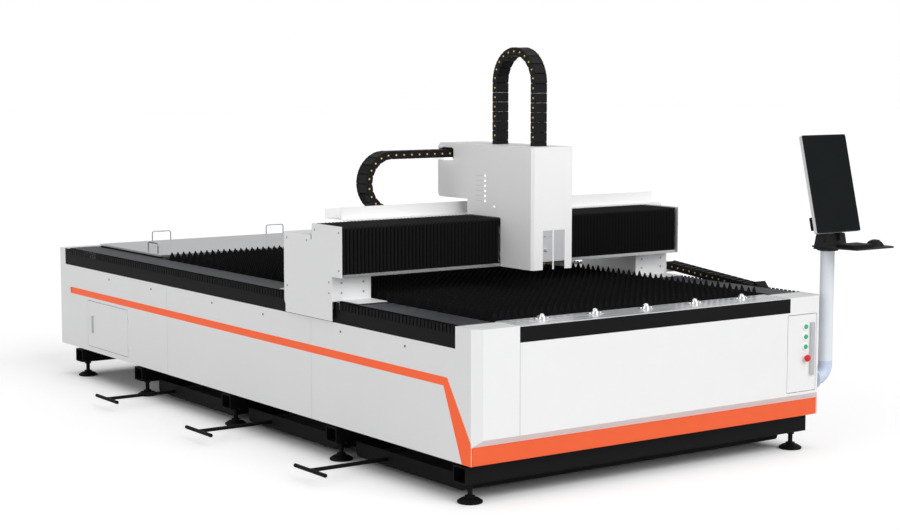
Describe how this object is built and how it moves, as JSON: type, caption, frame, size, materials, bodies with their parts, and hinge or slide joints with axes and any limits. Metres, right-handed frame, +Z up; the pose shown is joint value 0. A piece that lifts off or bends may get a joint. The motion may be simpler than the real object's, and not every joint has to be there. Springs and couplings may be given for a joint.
{
  "type": "flat-bed fiber laser cutting machine",
  "caption": "Open flat-bed laser cutter: a gantry with a covered cutting head travels over a toothed slat table on a panelled bed, with slag drawers below and a swivelling console.",
  "frame": {"origin": "on the floor under the middle of the bed", "axes": "+X to the right seen from the loading end, +Y from the loading end to the rear, +Z up"},
  "size_m": [2.91, 5.02, 2.1],
  "materials": {
    "white_panel": "satin powder coat",
    "black_steel": "matte powder coat",
    "orange_band": "satin powder coat",
    "polished_steel": "polished",
    "chrome_ball": "polished",
    "pale_pole": "satin powder coat",
    "grip": "satin",
    "green_button": "gloss",
    "red_button": "gloss",
    "black_plastic": "matte",
    "case_plastic": "matte",
    "screen_glass": "gloss",
    "bellows_cloth": "matte",
    "machined": "machined",
    "gantry_steel": "satin",
    "motor_black": "matte",
    "copper_tip": "machined"
  },
  "bodies": {
    "bed": {"base_frame": "black_steel", "levelling_feet": "black_steel", "side_panel_left": "white_panel", "side_panel_right": "white_panel", "side_stripes": "orange_band", "front_cover": "white_panel", "kick_band": "orange_band", "front_strip": "black_steel", "front_ledge": "polished_steel", "ball_cups": "chrome_ball", "rear_panel": "white_panel", "y_rails": "polished_steel", "rail_guards": "black_steel", "cover_bands": "polished_steel", "slat_frame": "black_steel", "slats": "black_steel", "rear_covers": "polished_steel", "plate_handles": "polished_steel", "y_chain_tray": "black_steel", "y_chain": "black_plastic", "console_post": "pale_pole"},
    "ball_1": {"transfer_ball_1": "chrome_ball"},
    "ball_2": {"transfer_ball_2": "chrome_ball"},
    "ball_3": {"transfer_ball_3": "chrome_ball"},
    "ball_4": {"transfer_ball_4": "chrome_ball"},
    "ball_5": {"transfer_ball_5": "chrome_ball"},
    "hatch": {"side_door": "white_panel"},
    "panel": {"control_door": "white_panel", "bar_handle": "grip", "button_bezels": "polished_steel"},
    "button_1": {"button_1": "green_button"},
    "button_2": {"button_2": "green_button"},
    "button_3": {"button_3": "green_button"},
    "stop": {"stop_button": "red_button"},
    "drawer_1": {"slag_drawer_1": "black_steel"},
    "drawer_2": {"slag_drawer_2": "black_steel"},
    "drawer_3": {"slag_drawer_3": "black_steel"},
    "console": {"console_tray": "black_steel", "keyboard": "black_plastic", "mouse": "black_plastic"},
    "monitor": {"monitor_case": "case_plastic", "monitor_screen": "screen_glass"},
    "gantry": {"gantry_beam": "gantry_steel", "leg_covers": "white_panel", "x_rails": "polished_steel", "chain_tray": "white_panel", "bellows_left": "bellows_cloth", "bellows_right": "bellows_cloth", "y_motors": "motor_black", "x_chain": "black_plastic"},
    "y_pinion_left": {"y_pinion_left": "polished_steel"},
    "y_pinion_right": {"y_pinion_right": "polished_steel"},
    "head": {"x_carriage": "machined", "head_cover": "white_panel", "window_plates": "grip", "head_motors": "motor_black", "z_chain": "black_plastic"},
    "x_pinion": {"x_pinion": "polished_steel"},
    "z_slide": {"cutting_head": "machined", "nozzle": "copper_tip"}
  },
  "joints": [
    {"name": "ball_1_roll", "type": "hinge", "parent": "bed", "child": "ball_1", "pos_m": [-0.644, -2.215, 0.837], "axis": [1, 0, 0], "continuous": true},
    {"name": "ball_2_roll", "type": "hinge", "parent": "bed", "child": "ball_2", "pos_m": [-0.322, -2.215, 0.837], "axis": [1, 0, 0], "continuous": true},
    {"name": "ball_3_roll", "type": "hinge", "parent": "bed", "child": "ball_3", "pos_m": [0, -2.215, 0.837], "axis": [1, 0, 0], "continuous": true},
    {"name": "ball_4_roll", "type": "hinge", "parent": "bed", "child": "ball_4", "pos_m": [0.322, -2.215, 0.837], "axis": [1, 0, 0], "continuous": true},
    {"name": "ball_5_roll", "type": "hinge", "parent": "bed", "child": "ball_5", "pos_m": [0.644, -2.215, 0.837], "axis": [1, 0, 0], "continuous": true},
    {"name": "hatch_hinge", "type": "hinge", "parent": "bed", "child": "hatch", "pos_m": [-1.12, 1.29, 0.36], "axis": [0, 0, 1], "range_deg": [0, 100]},
    {"name": "panel_hinge", "type": "hinge", "parent": "bed", "child": "panel", "pos_m": [0.863, -2.33, 0.53], "axis": [0, 0, -1], "range_deg": [0, 100]},
    {"name": "button_1_press", "type": "slide", "parent": "panel", "child": "button_1", "axis": [0, 1, 0], "range_m": [0, 0.004], "stiffness_N_per_m": 500},
    {"name": "button_2_press", "type": "slide", "parent": "panel", "child": "button_2", "axis": [0, 1, 0], "range_m": [0, 0.004], "stiffness_N_per_m": 500},
    {"name": "button_3_press", "type": "slide", "parent": "panel", "child": "button_3", "axis": [0, 1, 0], "range_m": [0, 0.004], "stiffness_N_per_m": 500},
    {"name": "stop_press", "type": "slide", "parent": "panel", "child": "stop", "axis": [0, 1, 0], "range_m": [0, 0.006], "stiffness_N_per_m": 800},
    {"name": "drawer_1_pull", "type": "slide", "parent": "bed", "child": "drawer_1", "axis": [-1, 0, 0], "range_m": [0, 0.9]},
    {"name": "drawer_2_pull", "type": "slide", "parent": "bed", "child": "drawer_2", "axis": [-1, 0, 0], "range_m": [0, 0.9]},
    {"name": "drawer_3_pull", "type": "slide", "parent": "bed", "child": "drawer_3", "axis": [-1, 0, 0], "range_m": [0, 0.9]},
    {"name": "console_swivel", "type": "hinge", "parent": "bed", "child": "console", "pos_m": [1.205, -2.27, 1.05], "axis": [0, 0, 1], "range_deg": [-20, 90]},
    {"name": "monitor_tilt", "type": "hinge", "parent": "console", "child": "monitor", "pos_m": [1.205, -2.31, 1.156], "axis": [1, 0, 0], "range_deg": [-15, 13]},
    {"name": "gantry_travel", "type": "slide", "parent": "bed", "child": "gantry", "axis": [0, 1, 0], "range_m": [-0.63, 2.37], "deforming": ["y_chain"]},
    {"name": "y_pinion_left_spin", "type": "hinge", "parent": "gantry", "child": "y_pinion_left", "pos_m": [-0.937, -0.638, 0.7203], "axis": [1, 0, 0], "range_deg": [-3400, 905]},
    {"name": "y_pinion_right_spin", "type": "hinge", "parent": "gantry", "child": "y_pinion_right", "pos_m": [0.937, -0.638, 0.7203], "axis": [1, 0, 0], "range_deg": [-3400, 905]},
    {"name": "head_travel", "type": "slide", "parent": "gantry", "child": "head", "axis": [1, 0, 0], "range_m": [-0.75, 0.75], "deforming": ["bellows_left", "bellows_right", "x_chain"]},
    {"name": "x_pinion_spin", "type": "hinge", "parent": "head", "child": "x_pinion", "pos_m": [-0.02, -1.0077, 1.176], "axis": [0, 0, 1], "range_deg": [-1080, 1080]},
    {"name": "z_travel", "type": "slide", "parent": "head", "child": "z_slide", "axis": [0, 0, 1], "range_m": [-0.095, 0], "deforming": ["z_chain"]}
  ],
  "couplings": [
    {"joint": "y_pinion_left_spin", "follows": "gantry_travel", "rad_per_m": -25},
    {"joint": "y_pinion_right_spin", "follows": "gantry_travel", "rad_per_m": -25},
    {"joint": "x_pinion_spin", "follows": "head_travel", "rad_per_m": -25}
  ]
}
